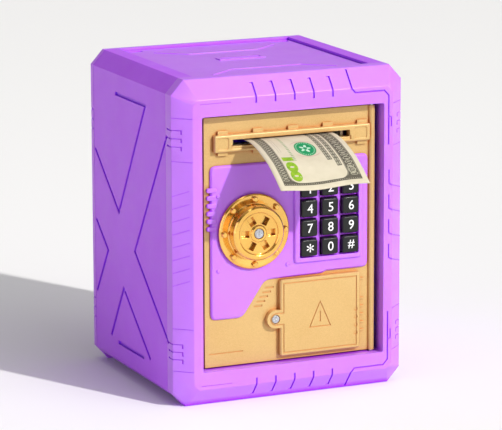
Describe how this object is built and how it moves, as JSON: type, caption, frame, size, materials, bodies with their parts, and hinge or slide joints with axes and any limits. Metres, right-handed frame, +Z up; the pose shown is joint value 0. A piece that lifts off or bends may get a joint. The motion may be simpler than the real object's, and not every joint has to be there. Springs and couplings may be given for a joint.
{
  "type": "toy safe coin bank",
  "caption": "Small plastic toy safe: octagonal cabinet, hinged door with keypad, turning dial and latch, motor-fed banknote slot, battery bay, and a coin slot in the top.",
  "frame": {"origin": "on the surface it stands on, under the middle of the whole object's box at rest, fed note included", "axes": "+Z up, +Y from the door to the back, +X to the right as seen from the front"},
  "size_m": [0.168, 0.2076, 0.22],
  "materials": {
    "purple_plastic": "satin moulded ABS, lilac purple",
    "gold_plastic": "satin metallic gold paint on moulded plastic",
    "gold_plating": "vacuum-plated glossy gold on moulded plastic",
    "black_key_plastic": "glossy black with white printed digits",
    "dark_plastic": "black moulded plastic",
    "steel": "zinc-plated steel",
    "rubber": "matt silicone rubber",
    "circuit_board": "green solder mask",
    "brass": "turned brass",
    "nylon": "natural acetal",
    "cell_wrap": "plain printed foil sleeve",
    "paper": "printed paper"
  },
  "bodies": {
    "casing": {"front_frame": "purple_plastic", "left_side_panel": "purple_plastic", "right_side_panel": "purple_plastic", "top_panel": "purple_plastic", "bottom_panel": "purple_plastic", "rear_frame": "purple_plastic", "back_panel": "purple_plastic", "coin_chute": "purple_plastic", "hinge_pin_upper": "steel", "hinge_pin_lower": "steel", "casing_screw_1": "steel", "casing_screw_2": "steel", "casing_screw_3": "steel", "casing_screw_4": "steel"},
    "door": {"door_panel": "gold_plastic", "slot_bezel": "gold_plastic", "keypad_plate": "purple_plastic", "door_back_cover": "purple_plastic", "cover_screw_1": "steel", "cover_screw_2": "steel", "cover_screw_3": "steel", "cover_screw_4": "steel", "battery_tray": "dark_plastic", "battery_cell_1": "cell_wrap", "battery_cell_2": "cell_wrap", "battery_cell_3": "cell_wrap", "contact_plate_left": "steel", "contact_plate_right": "steel", "keypad_mat": "rubber", "circuit_board": "circuit_board", "speaker": "dark_plastic", "feed_bracket_left": "nylon", "feed_bracket_right": "nylon", "feed_motor": "steel"},
    "knob": {"knob_dial": "gold_plating", "knob_spindle": "dark_plastic", "knob_screw": "steel"},
    "latch": {"latch_bolt": "nylon"},
    "key_1_body": {"key_1": "black_key_plastic"},
    "key_2_body": {"key_2": "black_key_plastic"},
    "key_3_body": {"key_3": "black_key_plastic"},
    "key_4_body": {"key_4": "black_key_plastic"},
    "key_5_body": {"key_5": "black_key_plastic"},
    "key_6_body": {"key_6": "black_key_plastic"},
    "key_7_body": {"key_7": "black_key_plastic"},
    "key_8_body": {"key_8": "black_key_plastic"},
    "key_9_body": {"key_9": "black_key_plastic"},
    "key_star_body": {"key_star": "black_key_plastic"},
    "key_0_body": {"key_0": "black_key_plastic"},
    "key_hash_body": {"key_hash": "black_key_plastic"},
    "battery_cover_body": {"battery_cover": "gold_plastic"},
    "battery_screw_body": {"battery_screw": "steel"},
    "feed_roller": {"feed_shaft": "steel", "feed_tyre_left": "rubber", "feed_tyre_right": "rubber", "feed_gear": "nylon"},
    "pressure_roller_body": {"pressure_roller": "steel"},
    "motor_pinion_body": {"motor_pinion": "brass"},
    "note": {"play_note": "paper"}
  },
  "joints": [
    {"name": "door_hinge", "type": "hinge", "parent": "casing", "child": "door", "pos_m": [0.0605, -0.04544, 0.11], "axis": [0, 0, 1], "range_deg": [0, 90]},
    {"name": "knob_turn", "type": "hinge", "parent": "door", "child": "knob", "pos_m": [-0.0275, -0.05774, 0.116], "axis": [0, -1, 0], "range_deg": [0, 90]},
    {"name": "latch_slide", "type": "slide", "parent": "door", "child": "latch", "axis": [-1, 0, 0], "range_m": [0, 0.00905]},
    {"name": "key_1_press", "type": "slide", "parent": "door", "child": "key_1_body", "axis": [0, 1, 0], "range_m": [0, 0.0015], "stiffness_N_per_m": 200, "springref_m": -0.001},
    {"name": "key_2_press", "type": "slide", "parent": "door", "child": "key_2_body", "axis": [0, 1, 0], "range_m": [0, 0.0015], "stiffness_N_per_m": 200, "springref_m": -0.001},
    {"name": "key_3_press", "type": "slide", "parent": "door", "child": "key_3_body", "axis": [0, 1, 0], "range_m": [0, 0.0015], "stiffness_N_per_m": 200, "springref_m": -0.001},
    {"name": "key_4_press", "type": "slide", "parent": "door", "child": "key_4_body", "axis": [0, 1, 0], "range_m": [0, 0.0015], "stiffness_N_per_m": 200, "springref_m": -0.001},
    {"name": "key_5_press", "type": "slide", "parent": "door", "child": "key_5_body", "axis": [0, 1, 0], "range_m": [0, 0.0015], "stiffness_N_per_m": 200, "springref_m": -0.001},
    {"name": "key_6_press", "type": "slide", "parent": "door", "child": "key_6_body", "axis": [0, 1, 0], "range_m": [0, 0.0015], "stiffness_N_per_m": 200, "springref_m": -0.001},
    {"name": "key_7_press", "type": "slide", "parent": "door", "child": "key_7_body", "axis": [0, 1, 0], "range_m": [0, 0.0015], "stiffness_N_per_m": 200, "springref_m": -0.001},
    {"name": "key_8_press", "type": "slide", "parent": "door", "child": "key_8_body", "axis": [0, 1, 0], "range_m": [0, 0.0015], "stiffness_N_per_m": 200, "springref_m": -0.001},
    {"name": "key_9_press", "type": "slide", "parent": "door", "child": "key_9_body", "axis": [0, 1, 0], "range_m": [0, 0.0015], "stiffness_N_per_m": 200, "springref_m": -0.001},
    {"name": "key_star_press", "type": "slide", "parent": "door", "child": "key_star_body", "axis": [0, 1, 0], "range_m": [0, 0.0015], "stiffness_N_per_m": 200, "springref_m": -0.001},
    {"name": "key_0_press", "type": "slide", "parent": "door", "child": "key_0_body", "axis": [0, 1, 0], "range_m": [0, 0.0015], "stiffness_N_per_m": 200, "springref_m": -0.001},
    {"name": "key_hash_press", "type": "slide", "parent": "door", "child": "key_hash_body", "axis": [0, 1, 0], "range_m": [0, 0.0015], "stiffness_N_per_m": 200, "springref_m": -0.001},
    {"name": "battery_cover_lift", "type": "slide", "parent": "door", "child": "battery_cover_body", "axis": [0, -1, 0], "range_m": [0, 0.025]},
    {"name": "battery_screw_turn", "type": "hinge", "parent": "battery_cover_body", "child": "battery_screw_body", "pos_m": [-0.0118, -0.04874, 0.0544], "axis": [0, -1, 0], "continuous": true},
    {"name": "note_feed", "type": "slide", "parent": "door", "child": "note", "axis": [0, -1, 0], "range_m": [0, 0.04]},
    {"name": "feed_roller_spin", "type": "hinge", "parent": "door", "child": "feed_roller", "pos_m": [0, -0.03334, 0.1722], "axis": [1, 0, 0], "range_deg": [0, 449]},
    {"name": "pressure_roller_spin", "type": "hinge", "parent": "door", "child": "pressure_roller_body", "pos_m": [0, -0.03334, 0.1818], "axis": [1, 0, 0], "range_deg": [-561, 0]},
    {"name": "motor_pinion_spin", "type": "hinge", "parent": "door", "child": "motor_pinion_body", "pos_m": [-0.045, -0.03334, 0.16185], "axis": [1, 0, 0], "range_deg": [-508, 0]}
  ],
  "couplings": [
    {"joint": "latch_slide", "follows": "knob_turn", "m_per_rad": 0.00573},
    {"joint": "note_feed", "follows": "feed_roller_spin", "m_per_rad": 0.0051},
    {"joint": "pressure_roller_spin", "follows": "feed_roller_spin", "ratio": -1.2439},
    {"joint": "motor_pinion_spin", "follows": "feed_roller_spin", "ratio": -1.125}
  ]
}
